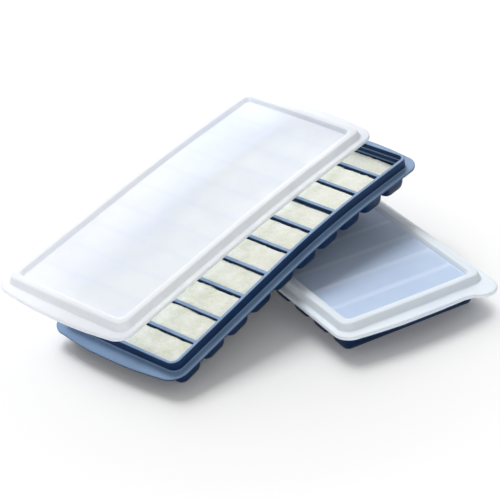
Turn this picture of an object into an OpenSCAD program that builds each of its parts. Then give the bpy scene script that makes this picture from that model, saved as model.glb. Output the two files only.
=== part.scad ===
// A pair of lidded freezer trays for small portions of food, with ten long cells in a row.
// The back tray stands flat with its lid seated. The front tray is filled and leans on it,
// its near end on the table, so its soft body drapes over the edge of the lid below.
// The front lid lies loose on the front tray, pushed to one side.

/* [Cells] */
// Distance from one cell to the next, along the tray
cell_pitch = 24; // [22:0.5:28]
// Length of a cell's mouth, across the tray
cell_len = 98; // [80:1:120]
// Depth of a cell below the divider tops
cell_depth = 17.5; // [14:0.5:24]
// Thickness of a divider at its top
divider_t = 2.6; // [2:0.1:4]
// How much each cell wall draws in towards the floor
cell_draft = 1.1; // [0.6:0.1:2]
// Radius of a cell's upright corners at its mouth
cell_corner_r = 3.6; // [2.5:0.1:6]
// Radius between a cell's walls and its floor
cell_floor_r = 4.2; // [2.5:0.1:6]
// Thickness of the cell walls
wall_t = 1.2; // [1:0.1:1.6]
// Thickness of the cell floors
floor_t = 1.5; // [1:0.1:2.5]

/* [Rim and flange] */
// Width of the narrow ledge between the cells and the rim
ledge_w = 0.8; // [0.5:0.1:2]
// Thickness of the upright rim
rim_t = 2.5; // [1.8:0.1:3.5]
// Height of the rim above the ledge
rim_h = 3.6; // [2.5:0.1:5]
// Outer corner radius of the rim
rim_corner_r = 6.6; // [5.5:0.1:9]
// Radius that rounds the rim's upper edges
rim_round = 0.8; // [0.4:0.1:1]
// How far the rim's ends bow out at their middle
rim_bow = 0.4; // [0.2:0.1:0.6]
// How far the flange lies below the ledge
flange_drop = 3.5; // [3:0.1:5]
// Thickness of the flange
flange_t = 1.7; // [1.2:0.1:2.5]
// Width of the flange along the long sides
flange_side = 5.5; // [4:0.1:8]
// Width of the flange at the middle of the bowed ends
flange_end = 11; // [9:0.5:16]
// How far the bowed ends fall back towards the corners
end_bow = 3.4; // [2:0.1:4.5]
// Corner radius of the flange
flange_corner_r = 13; // [12:0.5:14]

/* [Lid] */
// Thickness of the lid
lid_t = 1.1; // [0.8:0.1:1.5]
// Clearance between the lid and the rim that it covers
lid_fit = 0.3; // [0.2:0.05:0.5]
// How far the lid reaches past the flange
lid_over = 2; // [1:0.1:3]
// Height of the lid's raised border above its panel
panel_drop = 3.2; // [1.5:0.1:4.5]
// Slope of the border's inner and outer walls
border_slope = 1.8; // [1:0.1:3]
// Width that the border's inner wall stands in from the rim
border_in = 1.6; // [1:0.1:4]
// Height of the lid's turned-down lip
lip_h = 2.4; // [1.8:0.1:3]
// Radius of the pull tab on one corner of the lid
tab_r = 12; // [9:0.5:14]
// How far the pull tab stands out past the lid's end
tab_out = 5; // [3:0.5:8]

/* [Frozen portions] */
// Gap between a frozen portion and its cell
portion_fit = 0.12; // [0.1:0.02:0.3]

/* [Arrangement] */
// Angle between the long axes of the two trays
cross_angle = 72.3; // [66:0.1:78]
// Where along the back lid the front tray first touches it, from the middle
cross_at = -55.2; // [-60:0.2:-46]
// Slope of the front tray's near half
near_tilt = 13.2; // [12:0.1:14.5]
// Slope of the front tray's far half
far_tilt = 4.9; // [3:0.1:6]
// Where the front tray starts to bend, from its middle
bend_from = -16; // [-26:1:-10]
// Where the front tray stops bending, from its middle
bend_to = 78; // [60:1:86]
// Gap left between pieces that rest on each other
rest_gap = 0.3; // [0.2:0.05:0.5]
// How far the loose lid is pushed sideways off its seat
lid_shift = 44; // [42:0.5:52]
// Slope of the loose lid's near half
lid_near_tilt = 9.6; // [9:0.1:10.5]
// Slope of the loose lid's far half
lid_far_tilt = 6.2; // [5.5:0.1:7]

/* [Hidden] */
cell_count = 10;
// How far each portion's surface lies below the divider tops, from the near end
fill_drop = [0.7, 0.9, 0.8, 1.1, 0.9, 1.2, 2.0, 1.0, 1.3, 4.6];
corner_n = 4; // straight steps in a flange or rim corner
cell_n = 3;   // straight steps in a cell corner

silicone = [0.11, 0.19, 0.31];
frosted = [0.86, 0.90, 0.97, 0.75];
puree = [0.87, 0.86, 0.72];

// Heights above the underside of the cells
ledge_z = floor_t + cell_depth;
rim_z = ledge_z + rim_h;
flange_z = ledge_z - flange_drop;
deck_z = flange_z - flange_t;
lid_z = rim_z + lid_fit;
lid_top_z = lid_z + lid_t;
panel_z = lid_top_z - panel_drop - lid_t;
lid_flange_z = flange_z + lip_h;
lip_z = lid_flange_z + lid_t - lip_h;

// Half sizes of the outlines, along and across the tray
mouth_u = (cell_pitch - divider_t) / 2;
block_u = (cell_count - 1) * cell_pitch / 2 + mouth_u;
block_v = cell_len / 2;
rim_in = [block_u + ledge_w, block_v + ledge_w];
rim_out = rim_in + [rim_t, rim_t];
flange = rim_out + [flange_end, flange_side];
lid_edge = flange + [lid_over, lid_over];
border_out = rim_out + [lid_fit + lid_t, lid_fit + lid_t];
border_in_top = rim_in - [lid_fit + lid_t, lid_fit + lid_t];
panel = border_in_top - [border_in, border_in];

// ---- Outlines: points from the near end to the far end on the right side, then back on the left ----

// A quarter turn of n steps round centre c, from angle a
function arc(c, r, a, n) = [for (i = [0:n]) c + r * [cos(a + 90 * i / n), sin(a + 90 * i / n)]];

// A point of the far bowed end, at fraction f of the way from its middle to the right side
function end_point(h, bow, f) = [h[0] - bow * pow(f, 2), -h[1] * f];

// Stations along a long side: at each divider, and where the tray bends at the cells' middles too
half_pitch = cell_pitch / 2;
bend_start = round(bend_from / half_pitch);
bend_end = round(bend_to / half_pitch);
stations = half_pitch * concat([for (i = [2 - cell_count:2:bend_start - 1]) i],
    [for (i = [bend_start:bend_end]) i]);
function side_points(v) = [for (u = stations) [u, v]];

// The right side of a rounded outline with bowed ends
function right_side(h, r, bow) = let (
        corner = arc([h[0] - bow - r, -h[1] + r], r, 270, corner_n),
        far = concat(corner, [end_point(h, bow, 0.62), end_point(h, bow, 0.28)]),
        near = [for (i = [len(far) - 1:-1:0]) [-far[i][0], far[i][1]]]
    ) concat(near, side_points(-h[1]), far);

// The same points over on the left side, in the order that closes the outline
function mirrored(side) = [for (i = [len(side) - 1:-1:0]) [side[i][0], -side[i][1]]];

function outline(h, r, bow) = let (side = right_side(h, r, bow)) concat(side, mirrored(side));

// The lid's outline, with its pull tab on the far left corner
function tab_outline(h, r, bow) = let (
        side = right_side(h, r, bow),
        left = mirrored(side),
        c = [lid_edge[0] + tab_out - tab_r, lid_edge[1] - tab_r],
        rr = tab_r - (lid_edge[0] - h[0]),
        tab = [for (i = [0:corner_n + 1]) let (a = -50 + 140 * i / (corner_n + 1)) c + rr * [cos(a), sin(a)]]
    ) concat(side, [left[0]], tab, [for (i = [corner_n + 3:len(left) - 1]) left[i]]);

// A cell's rounded mouth, drawn in by d, round the middle of cell k
function cell_outline(k, d, r) = let (
        mid = (k - (cell_count - 1) / 2) * cell_pitch,
        hu = mouth_u - d,
        hv = block_v - d,
        far = arc([mid + hu - r, -hv + r], r, 270, cell_n),
        near = arc([mid - hu + r, -hv + r], r, 180, cell_n),
        side = concat(near, far)
    ) concat(side, mirrored(side));

// ---- Drape: carries a straight tray's points onto a line that climbs and then levels off ----

// Slope at u, for a drape given as its near and far slopes
function slope(u, d) = u < bend_from ? d[0] : u > bend_to ? d[1]
    : d[0] + (d[1] - d[0]) * (u - bend_from) / (bend_to - bend_from);

// Place on the draped line at u, from the start of the bend
function on_line(u, d) = let (
        turn = (d[1] - d[0]) / (bend_to - bend_from) * PI / 180,
        t = slope(u, d),
        in_bend = abs(turn) < 1e-9 ? min(max(u, bend_from), bend_to) * [1, 0] - bend_from * [1, 0]
            : [sin(t) - sin(d[0]), cos(d[0]) - cos(t)] / turn,
        before = min(u - bend_from, 0) * [cos(d[0]), sin(d[0])],
        after = max(u - bend_to, 0) * [cos(d[1]), sin(d[1])]
    ) in_bend + before + after;

function draped(p, d) = let (c = on_line(p[0], d), t = slope(p[0], d), h = p[2] - ledge_z)
    [bend_from + c[0] - h * sin(t), p[1], ledge_z + c[1] + h * cos(t)];

function at_height(line, z, d) = [for (p = line) draped([p[0], p[1], z], d)];

flat = [0, 0];
lean = [near_tilt, far_tilt];
lid_lean = [lid_near_tilt, lid_far_tilt];

// ---- Solids ----

// Closes matching rings, listed from the underside up, into one solid
module loft(rings) {
    n = len(rings[0]);
    m = len(rings);
    top = (m - 1) * n;
    sides = [for (k = [0:m - 2], i = [0:n - 1]) let (j = (i + 1) % n, a = k * n, b = a + n)
        each [[a + i, b + i, b + j], [a + i, b + j, a + j]]];
    under = [for (i = [0:n / 2 - 2]) each [[i, i + 1, n - 2 - i], [i, n - 2 - i, n - 1 - i]]];
    over = [for (t = under) [top + t[2], top + t[1], top + t[0]]];
    polyhedron([for (r = rings) each r], concat(under, sides, over));
}

// Rings of a cell's space or, grown by g, of the cup round it, up to height z
function cell_rings(k, g, low, z, d) = let (r = cell_floor_r + g, c = cell_corner_r + g,
        fall = cell_draft / cell_depth)
    [for (s = [[0, 0.72], [0.12, 0.32], [0.42, 0.08], [1, 0]])
        let (h = low + r * s[0], in = fall * (ledge_z - h) + r * s[1] * 0.8 - g)
        at_height(cell_outline(k, in, max(c - r * s[1] * 0.5, 1)), h, d),
    at_height(cell_outline(k, fall * (ledge_z - z) - g, c), z, d)];

// Height inside the flange where the cups end, and how far the cells' cuts run past the ledge
cup_top = deck_z + flange_t * 0.7;
over = 0.3;

// One ring of the flange, the rim or the recess, grown by g
function flange_ring(g, z, d) = at_height(outline(flange + [g, g], flange_corner_r + g, end_bow), z, d);
function rim_ring(g, z, d) = at_height(outline(rim_out + [g, g], rim_corner_r + g, rim_bow), z, d);
function recess_ring(g, z, d) = at_height(outline(rim_in + [g, g], rim_corner_r - rim_t + g, rim_bow), z, d);

// The flange, the rim and the recess are one skin, which the cups join and the cells cut into
module tray(d) difference() {
    union() {
        loft([flange_ring(-0.5, deck_z, d), flange_ring(0, deck_z + 0.5, d),
            flange_ring(0, flange_z - 0.5, d), flange_ring(-0.5, flange_z, d),
            rim_ring(0, flange_z, d), rim_ring(0, rim_z - rim_round, d),
            rim_ring(-rim_round * 0.3, rim_z - rim_round * 0.3, d), rim_ring(-rim_round, rim_z, d),
            recess_ring(rim_round, rim_z, d), recess_ring(rim_round * 0.3, rim_z - rim_round * 0.3, d),
            recess_ring(0, rim_z - rim_round, d), recess_ring(0, ledge_z, d)]);
        for (k = [0:cell_count - 1]) hull() loft(cell_rings(k, wall_t, 0, cup_top, d));
    }
    for (k = [0:cell_count - 1]) hull() loft(cell_rings(k, 0, floor_t, ledge_z + over, d));
}

// One ring of the lid: round the rim at half size h, or its outer edge with the tab
function lid_ring(h, g, r, z, d) = at_height(outline(h + [g, g], r, rim_bow), z, d);
function lid_edge_ring(g, z, d) = at_height(tab_outline(lid_edge + [g, g], flange_corner_r - 1 + g, end_bow), z, d);

// The lid is one skin: under its panel, over the rim, out to the lip and back over the top
module lid(d) loft([
    lid_ring(panel, border_slope * 0.2, rim_corner_r - 3, panel_z, d),
    lid_ring(border_in_top, lid_t, rim_corner_r - 2, lid_z, d),
    lid_ring(border_out, -lid_t, rim_corner_r, lid_z, d),
    lid_ring(border_out, border_slope - lid_t, rim_corner_r + 1, lid_flange_z, d),
    lid_edge_ring(-lid_t, lid_flange_z, d),
    lid_edge_ring(-lid_t, lip_z, d),
    lid_edge_ring(0, lip_z, d),
    lid_edge_ring(0, lid_flange_z + lid_t - 0.5, d),
    lid_edge_ring(-0.5, lid_flange_z + lid_t, d),
    lid_ring(border_out, border_slope, rim_corner_r + 1, lid_flange_z + lid_t, d),
    lid_ring(border_out, 0.2, rim_corner_r + 0.5, lid_top_z - 0.6, d),
    lid_ring(border_out, -0.4, rim_corner_r, lid_top_z, d),
    lid_ring(border_in_top, 0.4, rim_corner_r - 2, lid_top_z, d),
    lid_ring(border_in_top, -0.2, rim_corner_r - 2, lid_top_z - 0.6, d),
    lid_ring(panel, 0, rim_corner_r - 3, panel_z + lid_t, d)]);

// ---- Seats ----

// Lowest point of the leaning tray, which is the edge of its first cup
near_cup = [for (r = cell_rings(0, wall_t, 0, cup_top, lean)) each r];
floor_drop = -min([for (p = near_cup) p[2]]);
// Where the draped underside clears the back lid's border by the gap
underside = [for (u = [-block_u + 4:1:block_u]) let (p = draped([u, 0, 0], lean)) [p[2] + floor_drop, p[0]]];
touch_x = lookup(lid_top_z + rest_gap, underside);

function turned(p, a) = [p[0] * cos(a) - p[1] * sin(a), p[0] * sin(a) + p[1] * cos(a)];

lower_turn = 90;
upper_turn = lower_turn - cross_angle;
// The right side of the front tray meets the left border of the back lid
upper_shift = turned([cross_at, border_out[1]], lower_turn) - turned([touch_x, -block_v], upper_turn);

// The loose lid rests on the near rim, on the left rim and on the divider tops
function rest_need(u) = let (c = draped([u, 0, ledge_z], lean), r = draped([u, 0, rim_z], lean),
        over_rim = r[2] - (panel_z - lip_z), at_end = abs(u) > block_u ? r[2] : 0)
    max(c[2], over_rim, at_end) + rest_gap;
rest_stations = [for (i = [-24:24]) i / 24 * rim_out[0]];
lid_lift = max([for (u = rest_stations) rest_need(u) - draped([u, 0, lip_z], lid_lean)[2]]);

module place_lower() translate(origin_shift) rotate([0, 0, lower_turn]) children();
module place_upper() translate(origin_shift + [upper_shift[0], upper_shift[1], floor_drop])
    rotate([0, 0, upper_turn]) children();
module place_loose_lid() place_upper() translate([0, lid_shift, lid_lift]) children();

// The origin is the middle of the whole set's outline, on the table
spread = concat([for (p = lid_edge_ring(0, lip_z, flat)) turned(-p, lower_turn)],
    [for (h = [lip_z, lid_flange_z + lid_t - 0.5], p = lid_edge_ring(0, h, lid_lean))
        turned([p[0], p[1] + lid_shift], upper_turn) + upper_shift],
    [for (h = [deck_z + 0.5, flange_z - 0.5], p = flange_ring(0, h, lean))
        turned(p, upper_turn) + upper_shift]);
spread_x = [for (p = spread) p[0]];
spread_y = [for (p = spread) p[1]];
origin_shift = -[(min(spread_x) + max(spread_x)) / 2, (min(spread_y) + max(spread_y)) / 2, 0];

// ---- Pieces ----

module tray_lower() color(silicone) place_lower() tray(flat);

module lid_lower() color(frosted) place_lower() mirror([1, 0, 0]) mirror([0, 1, 0]) lid(flat);

module tray_upper() color(silicone) place_upper() tray(lean);

module lid_upper() color(frosted) place_loose_lid() lid(lid_lean);

module portion(k) color(puree) place_upper() hull()
    loft(cell_rings(k, -portion_fit, floor_t + portion_fit, ledge_z - fill_drop[k], lean));

tray_lower();
lid_lower();
tray_upper();
lid_upper();
portion(0);  // portion_01
portion(1);  // portion_02
portion(2);  // portion_03
portion(3);  // portion_04
portion(4);  // portion_05
portion(5);  // portion_06
portion(6);  // portion_07
portion(7);  // portion_08
portion(8);  // portion_09
portion(9);  // portion_10
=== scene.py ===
"""Dresses a pair of lidded silicone freezer trays: one flat and closed, one filled and leaning on it.

Every piece is modelled flat, in millimetres, in the tray's own lengthwise (u) and sideways (v) directions.
It is then carried onto the line that the real piece follows, and set in its place in the shared frame.
"""

from __future__ import annotations

import logging
import math
from dataclasses import dataclass, field
from enum import Enum

import bmesh
import bpy
from mathutils import Matrix, Vector, noise

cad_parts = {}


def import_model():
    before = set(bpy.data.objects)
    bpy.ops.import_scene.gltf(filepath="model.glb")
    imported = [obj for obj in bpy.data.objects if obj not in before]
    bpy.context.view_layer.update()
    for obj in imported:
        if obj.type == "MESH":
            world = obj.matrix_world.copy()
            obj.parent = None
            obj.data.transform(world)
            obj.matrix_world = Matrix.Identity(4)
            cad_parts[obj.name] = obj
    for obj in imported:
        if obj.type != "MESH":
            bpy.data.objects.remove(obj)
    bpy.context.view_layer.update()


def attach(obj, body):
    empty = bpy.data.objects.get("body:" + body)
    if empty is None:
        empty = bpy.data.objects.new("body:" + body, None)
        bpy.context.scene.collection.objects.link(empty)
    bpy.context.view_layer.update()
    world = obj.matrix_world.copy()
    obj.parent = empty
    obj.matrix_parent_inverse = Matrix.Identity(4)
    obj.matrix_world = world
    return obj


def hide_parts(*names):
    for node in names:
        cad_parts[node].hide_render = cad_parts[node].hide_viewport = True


MM = 0.001
Point = tuple[float, float]
Triple = tuple[float, float, float]
Colour = tuple[int, int, int]
Inputs = dict[str | int, object]
Socket = bpy.types.NodeSocket
log = logging.getLogger("freezer_trays")


class Slot(Enum):
    """The material slots: silicone, lid and food."""

    SILICONE = "silicone"
    LID = "lid"
    FOOD = "food"


# ---- Sizes that the pieces share, in millimetres ----


@dataclass(frozen=True)
class Sizes:
    """Heights and half sizes of a tray and its lid, most of them as in the part's source.

    The outer edges stay inside the source's own by inset, and a lid's sunk panel starts panel_in inside
    the rim's opening. A cell's rounded foot has foot_steps stretches, draws in by foot_draw of its height,
    and its corners grow by foot_corner of that.
    """

    pitch: float = 24.0
    cells: int = 10
    cell_half: Point = (10.7, 49.0)
    cell_corner: float = 3.6
    cell_round: float = 4.2
    cell_depth: float = 17.5
    draft: float = 1.1
    wall: float = 1.2
    floor: float = 1.5
    rim_in: Point = (119.5, 49.8)
    rim_out: Point = (122.0, 52.3)
    rim_bow: float = 0.4
    flange: Point = (133.0, 57.8)
    flange_bow: float = 3.4
    lid_edge: Point = (135.0, 59.8)
    ledge_z: float = 19.0
    rim_z: float = 22.6
    flange_z: float = 15.5
    deck_z: float = 13.8
    lid_t: float = 1.1
    lid_z: float = 22.9
    lid_top_z: float = 24.0
    panel_z: float = 19.7
    lid_flange_z: float = 17.9
    lip_z: float = 16.6
    tab_r: float = 12.0
    tab_out: float = 5.0
    portion_fit: float = 0.12
    inset: float = 0.04
    panel_in: float = 3.2
    foot_steps: int = 6
    foot_draw: float = 0.58
    foot_corner: float = 0.6


SIZES = Sizes()


@dataclass(frozen=True)
class Line:
    """The line that a piece follows: straight, then an even bend, then straight again."""

    near: float = 0.0
    far: float = 0.0
    start: float = -16.0
    end: float = 78.0

    def carry(self, u: float, v: float, z: float) -> Vector:
        """Carries a point of the flat piece onto the line.

        Args:
            u: Place along the piece, from its middle.
            v: Place across the piece.
            z: Height above the underside of the cells.

        Returns:
            The carried point, in millimetres.
        """
        near, far = math.radians(self.near), math.radians(self.far)
        share = min(max((u - self.start) / (self.end - self.start), 0.0), 1.0)
        slope = near + (far - near) * share
        turn = (far - near) / (self.end - self.start)
        if abs(turn) < 1e-9:
            along, up = share * (self.end - self.start), 0.0
        else:
            along, up = (math.sin(slope) - math.sin(near)) / turn, (math.cos(near) - math.cos(slope)) / turn
        before, after = min(u - self.start, 0.0), max(u - self.end, 0.0)
        along += before * math.cos(near) + after * math.cos(far)
        up += before * math.sin(near) + after * math.sin(far)
        h = z - SIZES.ledge_z
        return Vector((self.start + along - h * math.sin(slope), v, SIZES.ledge_z + up + h * math.cos(slope)))


@dataclass(frozen=True)
class Seat:
    """Where a piece goes in the shared frame, after it is carried onto its line."""

    line: Line
    shift: Triple
    turn: float
    reversed_ends: bool = False
    aside: Point = (0.0, 0.0)

    def place(self, point: Vector) -> Vector:
        """Sets a flat piece's point in the shared frame.

        Args:
            point: The point on the flat piece, in millimetres.

        Returns:
            The point in the shared frame, in metres.
        """
        u, v = (-point.x, -point.y) if self.reversed_ends else (point.x, point.y)
        p = self.line.carry(u, v, point.z) + Vector((0.0, self.aside[0], self.aside[1]))
        turned = Matrix.Rotation(math.radians(self.turn), 3, "Z") @ p
        return (turned + Vector(self.shift)) * MM


@dataclass(frozen=True)
class Arrangement:
    """The places of the two trays and their lids, as in the part's source."""

    origin: Point = (71.7393, 2.60041)
    front: Triple = (-63.9756, -7.0445, 22.2407)
    front_turn: float = 17.7
    lid_shift: float = 44.0
    lid_lift: float = 7.13422

    @property
    def back_tray(self) -> Seat:
        """The back tray's seat."""
        return Seat(Line(), (*self.origin, 0.0), 90.0)

    @property
    def back_lid(self) -> Seat:
        """The back lid's seat, with its tab at the near end."""
        return Seat(Line(), (*self.origin, 0.0), 90.0, reversed_ends=True)

    @property
    def front_tray(self) -> Seat:
        """The front tray's seat."""
        return Seat(Line(13.2, 4.9), self._front_shift, self.front_turn)

    @property
    def front_lid(self) -> Seat:
        """The loose lid's seat, on the front tray."""
        return Seat(Line(9.6, 6.2), self._front_shift, self.front_turn, aside=(self.lid_shift, self.lid_lift))

    @property
    def _front_shift(self) -> Triple:
        """The front tray's shift from the shared origin."""
        return (self.origin[0] + self.front[0], self.origin[1] + self.front[1], self.front[2])


# ---- Outlines ----


def arc(centre: Point, radius: float, first: float, last: float, steps: int) -> list[Point]:
    """Points on an arc.

    Args:
        centre: The arc's centre.
        radius: Its radius.
        first: Angle of the first point, in degrees.
        last: Angle of the last point, in degrees.
        steps: Number of stretches between the points.

    Returns:
        The points, the first and last included.
    """
    angles = [math.radians(first + (last - first) * i / steps) for i in range(steps + 1)]
    return [(centre[0] + radius * math.cos(a), centre[1] + radius * math.sin(a)) for a in angles]


@dataclass(frozen=True)
class Outline:
    """A rounded rectangle with bowed ends, with a pull tab on one corner if it has one."""

    half: Point
    radius: float
    bow: float
    follow: float = 1.0
    tab: bool = False
    corner_steps: int = 9
    stations: int = 40
    station_end: float = 108.0
    least_radius: float = 0.4
    least_bow: float = 0.08
    tab_bow: float = 0.55
    tab_start: float = -52.0

    def points(self, grow: float) -> list[Point]:
        """The outline's points, grown outwards.

        Args:
            grow: How far it grows, in millimetres.

        Returns:
            Points from the near end along the right side, and back along the left side.
        """
        hu, hv = self.half[0] + grow, self.half[1] + grow
        r = max(self.radius + self.follow * grow, self.least_radius)
        flat = hv - r
        end = [(hu - self.bow * max(f * f, self.least_bow), flat * f) for f in (0.1, 0.35, 0.6, 0.84)]
        corner = arc((hu - self.bow - r, hv - r), r, 0.0, 90.0, self.corner_steps)
        quarter = end + corner
        step = 2 * self.station_end / self.stations
        side = [-self.station_end + step * i for i in range(self.stations + 1)]
        near_right = [(-u, -v) for u, v in quarter]
        far_right = [(u, -v) for u, v in reversed(quarter)]
        far_left = self._tab_quarter(hu, grow) if self.tab else quarter
        near_left = [(-u, v) for u, v in reversed(quarter)]
        right, left = [(u, -hv) for u in side], [(u, hv) for u in reversed(side)]
        return near_right + right + far_right + far_left + left + near_left

    def _tab_quarter(self, hu: float, grow: float) -> list[Point]:
        """The far left quarter with the pull tab.

        Args:
            hu: Half length at this growth.
            grow: How far the outline grows.

        Returns:
            As many points as a plain quarter has.
        """
        centre = (SIZES.lid_edge[0] + SIZES.tab_out - SIZES.tab_r, SIZES.lid_edge[1] - SIZES.tab_r)
        radius = SIZES.tab_r + grow
        bows = [(f, self.bow * max(f * f * self.tab_bow, self.least_bow)) for f in (0.1, 0.3, 0.5, 0.66)]
        end = [(hu - bow, centre[1] * f) for f, bow in bows]
        return end + arc(centre, radius, self.tab_start, 90.0, self.corner_steps)


@dataclass(frozen=True)
class CellOutline:
    """The rounded mouth of one cell, which draws in towards its floor."""

    middle: float
    steps: int = 6
    least_radius: float = 1.0

    def points(self, grow: float, z: float, corner: float = 0.0, across: float = 0.0) -> list[Point]:
        """The cell's outline at a height.

        Args:
            grow: How far it grows outwards.
            z: Height above the underside of the cells.
            corner: How much its corner radius grows besides.
            across: How much further its two ends stand out, across the tray.

        Returns:
            The outline's points, in the same order as a tray's outline.
        """
        fall = SIZES.draft / SIZES.cell_depth * (SIZES.ledge_z - z)
        hu, hv = SIZES.cell_half[0] - fall + grow, SIZES.cell_half[1] - fall + grow + across
        r = max(SIZES.cell_corner + corner + min(grow, SIZES.wall), self.least_radius)
        m = self.middle
        return (
            arc((m - hu + r, -hv + r), r, 180.0, 270.0, self.steps)
            + arc((m + hu - r, -hv + r), r, 270.0, 360.0, self.steps)
            + arc((m + hu - r, hv - r), r, 0.0, 90.0, self.steps)
            + arc((m - hu + r, hv - r), r, 90.0, 180.0, self.steps)
        )


def filleted(profile: list[Point], radii: list[float], steps: int = 4, most: float = 0.48) -> list[Point]:
    """Rounds the corners of a profile.

    Args:
        profile: The profile's corners, as growth and height.
        radii: One radius for each corner between the first and the last.
        steps: Number of stretches in each rounded corner.
        most: The largest share of a side that a corner takes up.

    Returns:
        The profile's points, with an arc in place of each rounded corner.
    """
    out = [profile[0]]
    for i, radius in enumerate(radii, start=1):
        a, b, c = (Vector(p) for p in (profile[i - 1], profile[i], profile[i + 1]))
        one, two = (a - b).normalized(), (c - b).normalized()
        half = max(one.angle(two), 1e-3) / 2
        reach = min(radius / math.tan(half), (a - b).length * most, (c - b).length * most)
        for k in range(steps + 1):
            t = k / steps
            p = (b + one * reach) * (1 - t) ** 2 + b * 2 * t * (1 - t) + (b + two * reach) * t * t
            out.append((p.x, p.y))
    out.append(profile[-1])
    return out


def rounded_foot(radius: float, low: float, grow: float) -> list[Triple]:
    """The rounded foot of a cell, a cup or a portion.

    Args:
        radius: Height of the rounded part.
        low: Height of its bottom.
        grow: How far it stands outside the cell's outline.

    Returns:
        Growth, height and change of corner radius, from the top down.
    """
    out = []
    for i in range(SIZES.foot_steps + 1):
        a = math.radians(90.0 * i / SIZES.foot_steps)
        draw_in = SIZES.foot_draw * radius * (1 - math.cos(a))
        out.append((grow - draw_in, low + radius * (1 - math.sin(a)), draw_in * SIZES.foot_corner))
    return out


def at_height(points: list[Point], z: float) -> list[Vector]:
    """Sets an outline at a height.

    Args:
        points: The outline's points.
        z: The height.

    Returns:
        The ring's points.
    """
    return [Vector((u, v, z)) for u, v in points]


# ---- A skin that grows ring by ring ----


def select_open_edges() -> None:
    """Selects the edges of open borders, and nothing else."""
    bpy.ops.mesh.select_all(action="DESELECT")
    bpy.ops.mesh.select_mode(type="EDGE")
    mesh = bpy.context.edit_object.data
    for e in bmesh.from_edit_mesh(mesh).edges:
        if len(e.link_faces) == 1:
            e.select_set(True)
    bmesh.update_edit_mesh(mesh)


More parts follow.
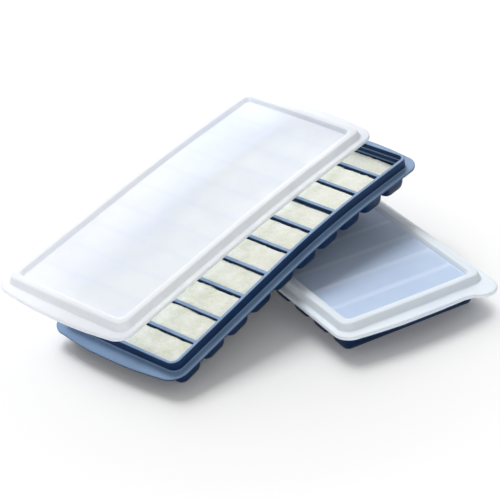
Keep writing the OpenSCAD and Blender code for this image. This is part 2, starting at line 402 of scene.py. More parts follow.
class Skin:
    """A mesh in edit mode that grows by extruding a ring of edges, as by hand."""

    def __init__(self, name: str) -> None:
        """Starts an empty piece.

        Args:
            name: The piece's name.
        """
        self.name = name
        self.marks: dict[str, int] = {}
        self.started = False

    @property
    def mesh(self) -> bmesh.types.BMesh:
        """The mesh being edited."""
        return bmesh.from_edit_mesh(bpy.context.edit_object.data)

    def layer(self, bm: bmesh.types.BMesh, name: str) -> bmesh.types.BMLayerItem:
        """Finds or makes a number layer on the vertices.

        Args:
            bm: The mesh being edited.
            name: The layer's name.

        Returns:
            The layer.
        """
        return bm.verts.layers.int.get(name) or bm.verts.layers.int.new(name)

    def start(self, ring: list[Vector]) -> "Skin":
        """Adds a circle of edges and sets it on the first ring.

        Args:
            ring: The ring's points.

        Returns:
            The skin.
        """
        kind = bpy.ops.mesh if self.started else bpy.ops.object
        kind.select_all(action="DESELECT")
        bpy.ops.mesh.primitive_circle_add(vertices=len(ring), radius=50.0, fill_type="NOTHING")
        if not self.started:
            bpy.context.object.name = self.name
            bpy.ops.object.mode_set(mode="EDIT")
            self.started = True
        bm = self.mesh
        self.layer(bm, "mark")
        order = self.layer(bm, "order")
        bm.verts.ensure_lookup_table()
        picked = sorted((v for v in bm.verts if v.select), key=lambda v: v.index)
        for i, v in enumerate(picked):
            v[order] = i
            v.co = ring[i]
        bmesh.update_edit_mesh(bpy.context.edit_object.data)
        return self

    def grow(self, ring: list[Vector]) -> "Skin":
        """Extrudes the ring in hand and sets the new ring.

        Args:
            ring: The new ring's points.

        Returns:
            The skin.
        """
        bpy.ops.mesh.extrude_edges_move()
        bm = self.mesh
        order, mark = self.layer(bm, "order"), self.layer(bm, "mark")
        for v in bm.verts:
            if v.select:
                v.co = ring[v[order]]
                v[mark] = 0
        bmesh.update_edit_mesh(bpy.context.edit_object.data)
        return self

    def grow_through(self, rings: list[list[Vector]], name: str) -> "Skin":
        """Starts at the first ring, remembers it under a name, and grows the others.

        Args:
            rings: The rings' points.
            name: The first ring's name.

        Returns:
            The skin.
        """
        self.start(rings[0]).mark(name)
        for ring in rings[1:]:
            self.grow(ring)
        return self

    def mark(self, name: str) -> "Skin":
        """Remembers the ring in hand under a name, together with others of that name.

        Args:
            name: The name.

        Returns:
            The skin.
        """
        number = self.marks.setdefault(name, len(self.marks) + 1)
        bm = self.mesh
        mark = self.layer(bm, "mark")
        for v in bm.verts:
            if v.select:
                v[mark] = number
        return self

    def fill_marked(self, name: str) -> "Skin":
        """Fills the flat surface between the rings of one name.

        Args:
            name: The rings' name.

        Returns:
            The skin.
        """
        bm = self.mesh
        mark = self.layer(bm, "mark")
        bpy.ops.mesh.select_all(action="DESELECT")
        bpy.ops.mesh.select_mode(type="EDGE")
        number = self.marks[name]
        for e in bm.edges:
            if all(v[mark] == number for v in e.verts) and len(e.link_faces) == 1:
                e.select_set(True)
        bmesh.update_edit_mesh(bpy.context.edit_object.data)
        bpy.ops.mesh.fill(use_beauty=True)
        return self

    def close_flat(self) -> "Skin":
        """Closes the ring in hand with one face."""
        bpy.ops.mesh.edge_face_add()
        return self

    def close_strips(self, cuts: int) -> "Skin":
        """Closes the ring in hand with strips from its right side to its left.

        Args:
            cuts: Number of cuts along each strip.

        Returns:
            The skin.
        """
        bm = self.mesh
        order = self.layer(bm, "order")
        ring = sorted((v for v in bm.verts if v.select), key=lambda v: v[order])
        ends = {(len(ring) // 2 - 1, len(ring) // 2), (0, len(ring) - 1)}
        bpy.ops.mesh.select_mode(type="EDGE")
        for e in bm.edges:
            if e.select and tuple(sorted(v[order] for v in e.verts)) in ends:
                e.select_set(False)
        bmesh.update_edit_mesh(bpy.context.edit_object.data)
        bpy.ops.mesh.bridge_edge_loops(number_cuts=cuts, interpolation="LINEAR")
        return self

    def finish(self, seat: Seat, smooth_angle: float = 40.0) -> bpy.types.Object:
        """Turns the faces outwards, leaves edit mode, and sets the piece in its place, smoothed.

        Args:
            seat: Where the piece goes.
            smooth_angle: Edges sharper than this stay sharp, in degrees.

        Returns:
            The finished piece.
        """
        bpy.ops.mesh.select_mode(type="VERT")
        bpy.ops.mesh.select_all(action="SELECT")
        bpy.ops.mesh.normals_make_consistent(inside=False)
        bpy.ops.object.mode_set(mode="OBJECT")
        piece = bpy.context.object
        return settle(piece, seat, smooth_angle)


def settle(piece: bpy.types.Object, seat: Seat, smooth_angle: float) -> bpy.types.Object:
    """Sets a flat piece in its place and smooths it.

    Args:
        piece: The flat piece, in millimetres.
        seat: Where it goes.
        smooth_angle: Edges sharper than this stay sharp, in degrees.

    Returns:
        The piece.
    """
    for name in ("order", "mark"):
        attribute = piece.data.attributes.get(name)
        if attribute:
            piece.data.attributes.remove(attribute)
    flat = piece.data.attributes.new("flat_place", "FLOAT_VECTOR", "POINT")
    for v, stored in zip(piece.data.vertices, flat.data):
        stored.vector = v.co
        v.co = seat.place(v.co)
    piece.matrix_world = Matrix.Identity(4)
    bpy.ops.object.select_all(action="DESELECT")
    bpy.context.view_layer.objects.active = piece
    piece.select_set(True)
    bpy.ops.object.shade_smooth_by_angle(angle=math.radians(smooth_angle))
    return piece


# ---- Finishes ----


def linear(rgb: Colour) -> tuple[float, float, float, float]:
    """Turns a screen colour into a shader colour.

    Args:
        rgb: Red, green and blue from 0 to 255.

    Returns:
        The colour with alpha 1.
    """
    c = [x / 255 for x in rgb]
    return (*[x / 12.92 if x <= 0.04045 else ((x + 0.055) / 1.055) ** 2.4 for x in c], 1.0)


def lighter(rgb: Colour, by: int) -> Colour:
    """Lightens a screen colour.

    Args:
        rgb: Red, green and blue from 0 to 255.
        by: How much to add to each.

    Returns:
        The lighter colour.
    """
    return tuple(min(255, c + by) for c in rgb)


class Nodes:
    """A material's node tree, built link by link."""

    def __init__(self, name: str) -> None:
        """Starts a material.

        Args:
            name: The material's name.
        """
        self.material = bpy.data.materials.new(name)
        self.material.use_nodes = True
        self.tree = self.material.node_tree
        self.shader = self.tree.nodes["Principled BSDF"]

    def add(self, kind: str, inputs: Inputs | None = None, **settings: object) -> bpy.types.Node:
        """Adds a node.

        Args:
            kind: The node's type.
            inputs: Values or sockets for its inputs.
            **settings: Its properties.

        Returns:
            The node.
        """
        node = self.tree.nodes.new(kind)
        for key, value in settings.items():
            setattr(node, key, value)
        for key, value in (inputs or {}).items():
            self.feed(node.inputs[key], value)
        return node

    def feed(self, socket: Socket, value: object) -> None:
        """Sets or links a socket.

        Args:
            socket: The input.
            value: A value, or the output that feeds it.
        """
        if isinstance(value, Socket):
            self.tree.links.new(value, socket)
        else:
            socket.default_value = value

    def ramp(self, factor: Socket, stops: list[tuple[float, tuple[float, ...]]]) -> Socket:
        """Adds a colour ramp.

        Args:
            factor: What drives it.
            stops: Places and colours.

        Returns:
            Its colour output.
        """
        node = self.add("ShaderNodeValToRGB", {"Fac": factor})
        elements = node.color_ramp.elements
        while len(elements) < len(stops):
            elements.new(0.5)
        for element, (place, colour) in zip(elements, stops):
            element.position = place
            element.color = colour
        return node.outputs["Color"]

    def mix(self, factor: object, one: object, two: object, blend: str = "MIX") -> Socket:
        """Mixes two colours.

        Args:
            factor: The second colour's share.
            one: The first colour.
            two: The second colour.
            blend: How they mix.

        Returns:
            The mixed colour.
        """
        inputs = {"Factor": factor, 6: one, 7: two}
        return self.add("ShaderNodeMix", inputs, data_type="RGBA", blend_type=blend).outputs[2]

    def noise(self, scale: float, detail: float = 3.0, rough: float = 0.5) -> Socket:
        """Adds a noise texture on the piece's own coordinates.

        Args:
            scale: Its scale, per metre.
            detail: Its detail.
            rough: Its roughness.

        Returns:
            Its value, from 0 to 1.
        """
        source = self.own().outputs["Object"]
        inputs = {"Vector": source, "Scale": scale, "Detail": detail, "Roughness": rough}
        return self.add("ShaderNodeTexNoise", inputs).outputs["Fac"]

    def flat_place(self) -> bpy.types.Node:
        """Reads a spot's place on the flat piece, in millimetres, as X, Y and Z."""
        place = self.add("ShaderNodeAttribute", attribute_name="flat_place", attribute_type="GEOMETRY")
        return self.add("ShaderNodeSeparateXYZ", {"Vector": place.outputs["Vector"]})

    def own(self) -> bpy.types.Node:
        """Finds the texture coordinate node, which is made once.

        Returns:
            The node.
        """
        found = self.tree.nodes.get("Own")
        if not found:
            found = self.add("ShaderNodeTexCoord")
            found.name = "Own"
        return found

    def maths(self, operation: str, one: object, two: object = 0.0) -> Socket:
        """Adds a sum.

        Args:
            operation: Its kind.
            one: The first value or socket.
            two: The second value or socket.

        Returns:
            Its output.
        """
        return self.add("ShaderNodeMath", {0: one, 1: two}, operation=operation).outputs["Value"]

    def rise(self, value: object, start: float, end: float) -> Socket:
        """Adds a smooth step.

        Args:
            value: What it reads.
            start: Where it is still 0.
            end: Where it has become 1.

        Returns:
            Its output.
        """
        inputs = {"Value": value, "From Min": start, "From Max": end}
        return self.add("ShaderNodeMapRange", inputs, interpolation_type="SMOOTHSTEP").outputs["Result"]

    def bump(self, height: Socket, strength: float, distance: float, under: object = None) -> Socket:
        """Adds a bump.

        Args:
            height: The height output.
            strength: Its strength.
            distance: Its depth in metres.
            under: The normal output of another bump, if any.

        Returns:
            Its normal output.
        """
        inputs: Inputs = {"Height": height, "Strength": strength, "Distance": distance}
        if under is not None:
            inputs["Normal"] = under
        return self.add("ShaderNodeBump", inputs).outputs["Normal"]

    def set(self, **values: object) -> None:
        """Sets the shader's sockets by name, with underscores for spaces."""
        for key, value in values.items():
            self.feed(self.shader.inputs[key.replace("_", " ")], value)


@dataclass(frozen=True)
class NavySilicone:
    """Satin food-grade silicone, deep navy, with a paler painted sheen on its flat upper faces, where light
    falls on them.
    """

    deep: Colour = (12, 36, 70)
    cloudy: Colour = (22, 50, 86)
    # Painted sheen: the paler colour laid on the flat upper faces, where light falls on them.
    painted_sheen: Colour = (117, 143, 175)
    sheen: Colour = (190, 215, 245)
    gloss: Colour = (165, 205, 255)
    roughness: float = 0.38

    def make(self) -> bpy.types.Material:
        """Builds the material.

        Returns:
            The material.
        """
        n = Nodes("navy_silicone")
        cloud = n.noise(34.0, 4.0, 0.6)
        base = n.ramp(cloud, [(0.35, linear(self.deep)), (0.7, linear(self.cloudy))])
        # The painted sheen: a paler navy on the flat upper faces in place of the light they catch; the walls
        # keep the deep navy.
        painted_sheen = n.ramp(cloud, [(0.3, linear(self.painted_sheen)), (0.75, linear(lighter(self.painted_sheen, 12)))])
        low, high = self.roughness - 0.05, self.roughness + 0.1
        rough = n.add("ShaderNodeMapRange", {"Value": cloud, "To Min": low, "To Max": high})
        grain = n.bump(n.noise(2600.0, 2.0), 0.12, 0.00008)
        colour = n.mix(self._painted_sheen_faces(n), base, painted_sheen)
        n.set(Base_Color=colour, Roughness=rough.outputs["Result"], Normal=grain)
        n.set(Sheen_Weight=0.1, Sheen_Roughness=0.4, Sheen_Tint=linear(self.sheen))
        n.set(Specular_Tint=linear(self.gloss), Specular_IOR_Level=0.4, IOR=1.42)
        return n.material

    def _painted_sheen_faces(self, n: Nodes) -> Socket:
        """Finds where the painted sheen goes: the flange's top, the rim's top and the tops of the dividers.

        Args:
            n: The material.

        Returns:
            1 on the flat upper faces, 0 on the walls.
        """
        s = SIZES
        place = n.flat_place()
        height = place.outputs["Z"]
        along = n.rise(n.maths("ABSOLUTE", place.outputs["X"]), s.rim_in[0] + 0.3, s.rim_in[0] - 0.1)
        across = n.rise(n.maths("ABSOLUTE", place.outputs["Y"]), s.rim_in[1] + 0.3, s.rim_in[1] - 0.1)
        inside = n.maths("MULTIPLY", across, along)
        flange = self._level(n, height, s.flange_z, below=0.9, close=0.2, above=0.9)
        ledge = self._level(n, height, s.ledge_z, below=0.4, close=0.05, above=0.5)
        ledge = n.maths("MULTIPLY", ledge, inside)
        rim = n.rise(height, s.rim_z - 0.35, s.rim_z - 0.05)
        return n.maths("MAXIMUM", n.maths("MAXIMUM", flange, ledge), rim)

    @staticmethod
    def _level(n: Nodes, height: Socket, level: float, below: float, close: float, above: float) -> Socket:
        """Finds a level face.

        Args:
            n: The material.
            height: The spot's height.
            level: The face's height.
            below: How far below the face the painted sheen starts.
            close: How far below the face it is full.
            above: How far above the face it ends.

        Returns:
            1 at the face, 0 away from it.
        """
        under = n.rise(height, level - below, level - close)
        return n.maths("MULTIPLY", under, n.rise(height, level + above, level + 0.1))


@dataclass(frozen=True)
class FrostedLid:
    """Frosted plastic, faintly blue. It is clearer over the panel, where what lies under it shows through,
    and carries pale painted highlights over the dividers.
    """

    name: str
    panel: Colour = (230, 236, 253)
    border: Colour = (241, 245, 255)
    panel_alpha: float = 0.9
    border_alpha: float = 0.94
    # Painted highlight bands over the dividers: their strength, colour and added opacity.
    divider_highlight: float = 0.16
    divider_highlight_colour: Colour = (204, 215, 244)
    divider_highlight_alpha: float = 0.12
    lets_through: float = 0.95
    milkiness: float = 0.66
    roughness: float = 0.5
    border_fade: Point = (-0.6, 0.9)
    band_fade: Point = (1.0, 3.2)

    def make(self) -> bpy.types.Material:
        """Builds the material.

        Returns:
            The material.
        """
        n = Nodes(self.name)
        split = n.flat_place()
        off_panel = self._off_panel(n, split)
        band = self._painted_divider_highlights(n, split, off_panel)
        cloud = n.noise(22.0, 3.0)
        inner = n.ramp(cloud, [(0.3, linear(self.panel)), (0.7, linear(lighter(self.panel, 11)))])
        outer = n.ramp(cloud, [(0.3, linear(self.border)), (0.75, linear(lighter(self.border, 6)))])
        # The panel takes pale painted highlight bands over the dividers.
        colour = n.mix(band, n.mix(off_panel, inner, outer), linear(self.divider_highlight_colour))
        alphas = {"Value": off_panel, "To Min": self.panel_alpha, "To Max": self.border_alpha}
        solid = n.add("ShaderNodeMapRange", alphas).outputs["Result"]
        solid = n.maths("ADD", solid, n.maths("MULTIPLY", band, self.divider_highlight_alpha))
        shadow = n.add("ShaderNodeLightPath").outputs["Is Shadow Ray"]
        kept = n.maths("SUBTRACT", 1.0, n.maths("MULTIPLY", shadow, self.lets_through))
        grain = n.bump(n.noise(3200.0, 2.0), 0.12, 0.00006)
        n.set(Base_Color=colour, Roughness=self.roughness, Normal=grain)
        n.set(Alpha=n.maths("MULTIPLY", solid, kept), IOR=1.46, Specular_IOR_Level=0.22)
        n.set(Subsurface_Weight=self.milkiness, Subsurface_Radius=(0.012, 0.012, 0.012), Subsurface_Scale=1.0)
        return n.material

    def _off_panel(self, n: Nodes, split: bpy.types.Node) -> Socket:
        """Finds how far a spot is off the sunk panel.

        Args:
            n: The material.
            split: The spot's place on the flat lid.

        Returns:
            0 on the panel, 1 on the border and the flange.
        """
        start, end = self.border_fade
        edge = (SIZES.rim_in[0] - SIZES.panel_in, SIZES.rim_in[1] - SIZES.panel_in)
        along = n.maths("SUBTRACT", n.maths("ABSOLUTE", split.outputs["X"]), edge[0])
        across = n.maths("SUBTRACT", n.maths("ABSOLUTE", split.outputs["Y"]), edge[1])
        inputs = {"Value": n.maths("MAXIMUM", along, across), "From Min": start, "From Max": end}
        return n.add("ShaderNodeMapRange", inputs).outputs["Result"]

    def _painted_divider_highlights(self, n: Nodes, split: bpy.types.Node, off_panel: Socket) -> Socket:
        """Finds the painted highlights: pale bands on the panel where the dividers stand close under it, in
        place of their lit tops seen through.

        Args:
            n: The material.
            split: The spot's place on the flat lid.
            off_panel: 0 on the panel, 1 off it.

        Returns:
            The bands' strength.
        """
        (start, end), half_row = self.band_fade, SIZES.pitch * SIZES.cells / 2
        off = n.maths("PINGPONG", n.maths("ADD", split.outputs["X"], half_row), SIZES.pitch / 2)
        inputs = {"Value": off, "From Min": start, "From Max": end, "To Min": self.divider_highlight, "To Max": 0.0}
        band = n.add("ShaderNodeMapRange", inputs, interpolation_type="SMOOTHSTEP").outputs["Result"]
        return n.maths("MULTIPLY", band, n.maths("SUBTRACT", 1.0, off_panel))


@dataclass(frozen=True)
class FrozenPuree:
    """Pale frozen puree, mottled with ice and a little green."""

    cream: Colour = (230, 232, 219)
    green: Colour = (221, 225, 207)
    frost: Colour = (238, 240, 234)
    speckle: float = 0.16

    def make(self) -> bpy.types.Material:
        """Builds the material.

        Returns:
            The material.
        """
        n = Nodes("frozen_puree")
        broad = n.noise(120.0, 5.0, 0.62)
        fine = n.noise(560.0, 4.0, 0.6)
        stops = [(0.34, linear(self.green)), (0.5, linear(self.cream)), (0.68, linear(self.frost))]
        speck = n.ramp(fine, [(0.42, (0, 0, 0, 1)), (0.62, (1, 1, 1, 1))])
        colour = n.mix(self.speckle, n.ramp(broad, stops), speck, "SOFT_LIGHT")
        normal = n.bump(fine, 0.35, 0.0004, n.bump(broad, 0.4, 0.001))
        n.set(Base_Color=colour, Roughness=0.55, Normal=normal, IOR=1.34)
        n.set(Subsurface_Weight=0.2, Subsurface_Radius=(0.004, 0.004, 0.003), Subsurface_Scale=0.5)
        return n.material


# ---- Pieces ----


@dataclass
class SiliconeTray:
    """One silicone tray: ten cups under a deck, an upright rim and a wide flange."""

    name: str
    node: str
    body: str
    seat: Seat
    finish: bpy.types.Material
    mouth_round: float = 0.4
    edge_round: float = 0.6
    end_out: float = 0.62
    cup_low: float = 0.01
    flange: Outline = field(default_factory=lambda: Outline(SIZES.flange, 13.0, SIZES.flange_bow))
    rim: Outline = field(default_factory=lambda: Outline(SIZES.rim_out, 6.6, SIZES.rim_bow))
    recess: Outline = field(default_factory=lambda: Outline(SIZES.rim_in, 4.1, 0.0))

    def build(self) -> bpy.types.Object:
        """Builds, places and dresses the tray.

        Returns:
            The finished piece.
        """
        skin = Skin(self.name)
        self._edge_and_rim(skin)
        for k in range(SIZES.cells):
            middle = (k - (SIZES.cells - 1) / 2) * SIZES.pitch
            self._cell(skin, CellOutline(middle))
            self._cup(skin, CellOutline(middle))
        skin.fill_marked("deck")
        skin.fill_marked("underside")
        piece = skin.finish(self.seat)
        return dress(piece, self.finish, self.node, self.body)

    def _edge_and_rim(self, skin: Skin) -> None:
        """Grows the flange's edge, its top and the rim, up to the ledge inside.

        Args:
            skin: The skin to grow.
        """
        s, r = SIZES, self.edge_round
        edge = filleted(
            [(-1.6, s.deck_z), (-s.inset, s.deck_z), (-s.inset, s.flange_z), (-1.6, s.flange_z)], [r, r]
        )
        outer = filleted(
            [(2.2, s.flange_z), (0.0, s.flange_z), (0.0, s.rim_z), (-1.25, s.rim_z)], [0.9, 0.8]
        )
        inner = filleted([(1.25, s.rim_z), (0.0, s.rim_z), (0.0, s.ledge_z), (-0.22, s.ledge_z)], [0.8, 0.2])
        rings = [(self.flange, p) for p in edge] + [(self.rim, p) for p in outer]
        rings += [(self.recess, p) for p in inner[1:]]
        skin.grow_through([at_height(outline.points(g), z) for outline, (g, z) in rings], "underside")
        skin.mark("deck")

    def _cell(self, skin: Skin, outline: CellOutline) -> None:
        """Grows one cell from its mouth down to its floor.

        Args:
            skin: The skin to grow.
            outline: The cell's outline.
        """
        s, r = SIZES, self.mouth_round
        mouth = [(r + 0.05, s.ledge_z)] + [
            (r * (1 - math.sin(a)), s.ledge_z - r * (1 - math.cos(a))) for a in (0.0, 0.52, 1.05, 1.571)
        ]
        rings = [at_height(outline.points(g, z), z) for g, z in mouth]
        for g, z, c in rounded_foot(s.cell_round, s.floor, 0.0):
            rings.append(at_height(outline.points(g, z, c), z))
        skin.grow_through(rings, "deck").close_flat()

    def _cup(self, skin: Skin, outline: CellOutline) -> None:
        """Grows one cup from the flange's underside down to its flat bottom, upright at its two ends.

        Args:
            skin: The skin to grow.
            outline: The cell's outline.
        """
        s = SIZES
        shoulder = ((0.36, 0.0), (0.3, 0.0), (0.09, 0.09), (0.0, 0.3))
        tops = [(s.wall + g, s.deck_z - drop) for g, drop in shoulder]
        rings = [at_height(outline.points(g, z), z) for g, z in tops]
        for g, z, c in rounded_foot(s.cell_round + s.wall, self.cup_low, s.wall):
            across = s.draft / s.cell_depth * (s.deck_z - z) + self.end_out * (s.wall - g)
            rings.append(at_height(outline.points(g, z, c, across), z))
        skin.grow_through(rings, "underside").close_flat()


@dataclass
class FrostedCover:
    """One lid: a sunk panel, a raised border over the tray's rim, and a flange with a turned-down lip."""

    name: str
    node: str
    body: str
    seat: Seat
    finish: bpy.types.Material
    strip_cuts: int = 7
    border: Outline = field(default_factory=lambda: Outline(SIZES.rim_in, 5.2, SIZES.rim_bow, follow=0.5))
    edge: Outline = field(default_factory=lambda: Outline(SIZES.lid_edge, 12.0, SIZES.flange_bow, tab=True))

    def build(self) -> bpy.types.Object:
        """Builds, places and dresses the lid.

        Returns:
            The finished piece.
        """
        s = SIZES
        t, fz, out, low = s.lid_t, s.lid_flange_z, -s.inset, s.lip_z
        under = filleted(
            [(-4.2, s.panel_z), (-2.64, s.panel_z), (-0.3, s.lid_z), (2.8, s.lid_z), (4.6, fz), (6.4, fz)],
            [0.5, 0.5, 0.5, 0.9],
        )
        lip = filleted(
            [(-t - 1.5, fz), (-t, fz), (-t, low), (out, low), (out, fz + t), (-t - 1.5, fz + t)],
            [0.3, 0.25, 0.3, 0.9],
        )
        top, panel = s.lid_top_z, s.panel_z + t
        over = filleted(
            [(7.6, fz + t), (5.7, fz + t), (3.9, top), (-1.4, top), (-3.0, panel), (-5.0, panel)],
            [0.7, 1.5, 1.5, 0.8],
        )
        rings = [(self.border, p) for p in under] + [(self.edge, p) for p in lip]
        rings += [(self.border, p) for p in over]
        skin = Skin(self.name)
        skin.grow_through([at_height(outline.points(g), z) for outline, (g, z) in rings], "panel_under")
        skin.close_strips(self.strip_cuts)
        select_open_edges()
        skin.close_strips(self.strip_cuts)
        piece = skin.finish(self.seat)
        return dress(piece, self.finish, self.node, self.body)


# Scale and share of each layer of noise, on the frozen tops and along their sunk edges.
SWELLS: tuple[Point, ...] = ((0.09, 1.0), (0.35, 0.3), (0.9, 0.22))
RAGGED: tuple[Point, ...] = ((1.0, 0.5), (3.1, 0.35), (8.0, 0.16))
# The sunk edge's narrowest reach, what raggedness adds to it, and its least depth, as shares.
SUNK_EDGE: Triple = (0.1, 0.07, 0.12)
# How finely the noise runs along a sunk edge, and how far apart two portions' places in the noise are.
ALONG_EDGE = 0.075
TOPS_APART, EDGES_APART = 31.0, 7.3


@dataclass
class Portion:
    """One frozen portion: a block shaped by its cell, with an uneven top."""

    index: int
    fill_drop: float
    seat: Seat
    finish: bpy.types.Material
    edge_dip: float = 1.0
    columns: int = 28
    rows: int = 110
    swell: float = 0.35
    crown: float = 0.12
    top_drop: float = 0.35
    shoulder: float = 1.6
    rim_from: float = 0.999

    def build(self) -> bpy.types.Object:
        """Builds, places and dresses the portion.

        Returns:
            The finished piece.
        """
        name = f"portion_{self.index + 1:02d}"
        bpy.ops.object.select_all(action="DESELECT")
        bpy.ops.mesh.primitive_grid_add(x_subdivisions=self.columns, y_subdivisions=self.rows, size=2.0)
        piece = bpy.context.object
        piece.name = f"frozen_{name}"
        bpy.ops.object.mode_set(mode="EDIT")
        self._shape_top()
        level = SIZES.ledge_z - self.fill_drop
        low = SIZES.floor + SIZES.portion_fit
        shoulder = level - self.shoulder - self.shoulder * self.edge_dip
        foot = rounded_foot(SIZES.cell_round, low, -SIZES.portion_fit)
        for g, z, c in [(-SIZES.portion_fit, shoulder, 0.0), *foot]:
            self._skirt(g, z, c)
        bpy.ops.mesh.edge_face_add()
        bpy.ops.mesh.select_mode(type="VERT")
        bpy.ops.mesh.select_all(action="SELECT")
        bpy.ops.mesh.normals_make_consistent(inside=False)
        bpy.ops.object.mode_set(mode="OBJECT")
        settle(piece, self.seat, 45.0)
        return dress(piece, self.finish, name, "front_tray")

    @property
    def middle(self) -> float:
        """The middle of the portion's cell, along the tray."""
        return (self.index - (SIZES.cells - 1) / 2) * SIZES.pitch

    def _rounded(self, a: float, b: float, grow: float, z: float, corner: float) -> Point:
        """Takes a point of a square onto the cell's rounded outline.

        Args:
            a: Place across the cell, from -1 to 1.
            b: Place along the cell, from -1 to 1.
            grow: How far the outline grows.
            z: Height, for the cell's draft.
            corner: How much the corner radius grows.

        Returns:
            The point from the middle of the cell.
        """
        fall = SIZES.draft / SIZES.cell_depth * (SIZES.ledge_z - z)
        hu, hv = SIZES.cell_half[0] - fall + grow, SIZES.cell_half[1] - fall + grow
        r = SIZES.cell_corner + corner
        du, dv = (abs(a) * hu - (hu - r)) / r, (abs(b) * hv - (hv - r)) / r
        u, v = abs(a) * hu, abs(b) * hv
        if du > 0 and dv > 0:
            u = hu - r + r * du * math.sqrt(1 - dv * dv / 2)
            v = hv - r + r * dv * math.sqrt(1 - du * du / 2)
        return (math.copysign(u, a), math.copysign(v, b))

    def _shape_top(self) -> None:
        """Sets the grid on the frozen surface, which swells and dips a little."""
        level = SIZES.ledge_z - self.fill_drop
        bm = bmesh.from_edit_mesh(bpy.context.edit_object.data)
        source_a, source_b = bm.verts.layers.float.new("a"), bm.verts.layers.float.new("b")
        for v in bm.verts:
            a, b = v.co.x, v.co.y
            v[source_a], v[source_b] = a, b
            rim = max(abs(a), abs(b)) > self.rim_from
            u, w = self._rounded(a, b, -SIZES.portion_fit, level, 0.0)
            spot = Vector((u, w, self.index * TOPS_APART))
            broad, small, fine = (share * self.swell * noise.noise(spot * scale) for scale, share in SWELLS)
            z = broad + small + (0.0 if rim else fine + self.crown)
            v.co = Vector((self.middle + u, w, level - self.top_drop + z - self._sunk(a, w)))
        select_open_edges()

    def _sunk(self, a: float, w: float) -> float:
        """How far the surface has shrunk down along the cell's far wall.

        Args:
            a: Place across the cell, from -1 to 1.
            w: Place along the cell, in millimetres.

        Returns:
            The drop, in millimetres.
        """
        spot = Vector((w * ALONG_EDGE, self.index * EDGES_APART, 2.0))
        ragged = 0.5
        for scale, strength in RAGGED:
            ragged += strength * noise.noise(spot * scale)
        narrow, wider, least = SUNK_EDGE
        reach = narrow + wider * max(ragged, 0.0)
        share = min(max((a - 1.0 + reach) / reach, 0.0), 1.0)
        return self.edge_dip * max(ragged, least) * share * share * (3 - 2 * share)

    def _skirt(self, grow: float, z: float, corner: float) -> None:
        """Extrudes the edge in hand down to the next height of the cell's wall.

        Args:
            grow: Growth of the outline.
            z: Height.
            corner: Change of the corner radius.
        """
        bpy.ops.mesh.extrude_edges_move()
        bm = bmesh.from_edit_mesh(bpy.context.edit_object.data)
        source_a, source_b = bm.verts.layers.float["a"], bm.verts.layers.float["b"]
        for v in bm.verts:
            if v.select:
                u, w = self._rounded(v[source_a], v[source_b], grow, z, corner)
                v.co = Vector((self.middle + u, w, z))
        bmesh.update_edit_mesh(bpy.context.edit_object.data)


def dress(
    piece: bpy.types.Object, finish: bpy.types.Material, node: str, body: str
) -> bpy.types.Object:
    """Gives a piece its finish and its place in the model.

    Args:
        piece: The finished mesh.
        finish: Its material.
        node: The node that it stands for.
        body: The body that it rides on.

    Returns:
        The piece.
    """
    piece.data.materials.clear()
    piece.data.materials.append(finish)
    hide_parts(node)
    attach(piece, body)
    log.info("%s: %d faces", piece.name, len(piece.data.polygons))
    return piece


# ---- Stage ----


@dataclass(frozen=True)
class Camera:
    """The photograph's viewpoint, from the fitted azimuth, elevation, roll, distance and focal length."""

    azimuth: float = -118.039
    elevation: float = 30.501
    roll: float = -4.726
    distance: float = 1498.728
    focal_px: float = 2195.3
    target: Triple = (21.128, 4.648, 20.0)
    sensor: float = 36.0
    picture_px: float = 500.0

    def make(self) -> bpy.types.Object:
        """Builds the camera and makes it the scene's own.

        Returns:
            The camera.
        """
        az, el, ro = (math.radians(x) for x in (self.azimuth, self.elevation, self.roll))
        back = Vector((math.cos(el) * math.cos(az), math.cos(el) * math.sin(az), math.sin(el)))
        right = (-back).cross(Vector((0, 0, 1))).normalized()
        up = right.cross(-back)
        turned_right = right * math.cos(ro) + up * math.sin(ro)
        turned_up = up * math.cos(ro) - right * math.sin(ro)
        data = bpy.data.cameras.new("camera")
        data.sensor_width = self.sensor
        data.lens = self.focal_px * self.sensor / self.picture_px
        data.clip_start, data.clip_end = 0.01, 50.0
        camera = bpy.data.objects.new("camera", data)
        bpy.context.scene.collection.objects.link(camera)
        rotation = Matrix((turned_right, turned_up, back)).transposed().to_4x4()
        place = (Vector(self.target) + back * self.distance) * MM
        camera.matrix_world = Matrix.Translation(place) @ rotation
        bpy.context.scene.camera = camera
        return camera


@dataclass(frozen=True)
class Lamp:
    """A square area lamp that looks at the trays: its place and side in metres, its power in watts."""

    name: str
    place: Triple
    size: float
    power: float

    def make(self) -> None:
        """Builds the lamp."""
        data = bpy.data.lights.new(self.name, "AREA")
        data.size = self.size
        data.energy = self.power
        lamp = bpy.data.objects.new(self.name, data)
        lamp.location = self.place
        lamp.rotation_euler = (-Vector(self.place)).to_track_quat("-Z", "Y").to_euler()
        bpy.context.scene.collection.objects.link(lamp)


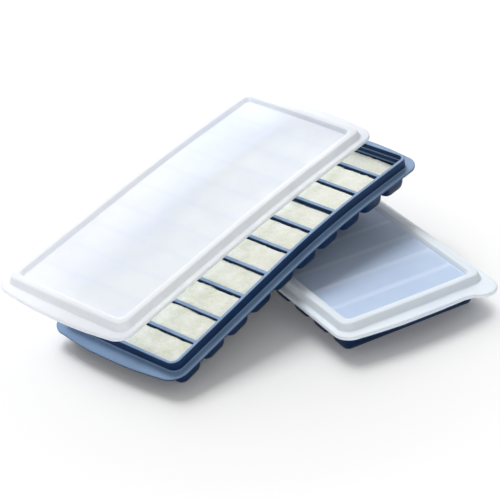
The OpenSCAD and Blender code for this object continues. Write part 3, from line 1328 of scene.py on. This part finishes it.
@dataclass(frozen=True)
class Studio:
    """A white floor, soft light from behind and above, and a low soft light from the front."""

    floor_size: float = 12.0
    floor_lift: float = 0.04
    far_lift: float = 0.55
    lift_from: float = 0.12
    lift_full: float = 0.6
    fill: float = 0.35
    lamps: tuple[Lamp, ...] = (
        Lamp("key", (0.15, 1.5, 2.1), 1.2, 32.0),
        Lamp("sheen", (0.45, 1.15, 0.95), 1.0, 9.8),
        Lamp("front", (-0.95, -1.45, 0.42), 1.0, 6.5),
    )

    def make(self) -> None:
        """Builds the floor, the lamps and the surrounding light."""
        bpy.ops.object.select_all(action="DESELECT")
        bpy.ops.mesh.primitive_plane_add(size=self.floor_size, location=(0, 0, 0))
        floor = bpy.context.object
        floor.name = "floor"
        n = Nodes("floor_white")
        n.set(Base_Color=(0.97, 0.97, 0.97, 1.0), Roughness=0.9, Specular_IOR_Level=0.2)
        away = n.add("ShaderNodeVectorMath", {0: n.own().outputs["Object"]}, operation="LENGTH")
        far = n.rise(away.outputs["Value"], self.lift_from, self.lift_full)
        lift = n.maths("ADD", n.maths("MULTIPLY", far, self.far_lift), self.floor_lift)
        lift = n.maths("MULTIPLY", self._seen(n.tree), lift)
        n.set(Emission_Color=(1.0, 1.0, 1.0, 1.0), Emission_Strength=lift)
        floor.data.materials.append(n.material)
        for lamp in self.lamps:
            lamp.make()
        world = bpy.data.worlds.new("world")
        bpy.context.scene.world = world
        world.use_nodes = True
        tree = world.node_tree
        background = tree.nodes["Background"]
        background.inputs["Color"].default_value = (1.0, 1.0, 1.0, 1.0)
        strength = tree.nodes.new("ShaderNodeMapRange")
        strength.inputs["To Min"].default_value = self.fill
        tree.links.new(self._seen(tree), strength.inputs["Value"])
        tree.links.new(strength.outputs["Result"], background.inputs["Strength"])

    @staticmethod
    def _seen(tree: bpy.types.NodeTree) -> Socket:
        """Tells what the eye sees, straight, mirrored or through a clear piece, from what only lights.

        Args:
            tree: The node tree.

        Returns:
            1 for what is seen, 0 for what only lights.
        """
        path = tree.nodes.new("ShaderNodeLightPath")
        seen = path.outputs["Is Camera Ray"]
        for name in ("Is Glossy Ray", "Is Transmission Ray"):
            either = tree.nodes.new("ShaderNodeMath")
            either.operation = "MAXIMUM"
            tree.links.new(seen, either.inputs[0])
            tree.links.new(path.outputs[name], either.inputs[1])
            seen = either.outputs["Value"]
        return seen


# How far each portion stays below its cell's mouth, and how deep its far edge has sunk, near end first.
FILL_DROPS: tuple[float, ...] = (0.7, 0.9, 0.8, 1.1, 0.9, 1.2, 2.0, 1.0, 1.3, 4.6)
EDGE_DIPS: tuple[float, ...] = (2.4, 1.8, 2.6, 2.0, 2.8, 2.2, 5.6, 2.8, 1.8, 1.2)


def main() -> None:
    """Builds the set: the stage, the two trays, their lids and the frozen portions."""
    logging.basicConfig(level=logging.INFO, format="%(message)s")
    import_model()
    bpy.context.scene.view_settings.view_transform = "Standard"
    Camera().make()
    Studio().make()
    places = Arrangement()
    silicone, puree = NavySilicone().make(), FrozenPuree().make()
    loose = FrostedLid("frosted_plastic_loose").make()
    seated = FrostedLid(
        "frosted_plastic_seated",
        panel=(202, 221, 253),
        border=(236, 244, 255),
        panel_alpha=0.7,
        # Strong pale painted highlight bands over the dividers, which stand close under this lid.
        divider_highlight=0.75,
        divider_highlight_colour=(222, 236, 255),
        milkiness=0.2,
    ).make()
    SiliconeTray("back_tray_moulding", "tray_lower", "back_tray", places.back_tray, silicone).build()
    SiliconeTray("front_tray_moulding", "tray_upper", "front_tray", places.front_tray, silicone).build()
    FrostedCover("back_lid_moulding", "lid_lower", "back_lid", places.back_lid, seated).build()
    FrostedCover("front_lid_moulding", "lid_upper", "front_lid", places.front_lid, loose).build()
    for index, (drop, dip) in enumerate(zip(FILL_DROPS, EDGE_DIPS)):
        Portion(index, drop, places.front_tray, puree, dip).build()


if __name__ == "__main__":
    main()
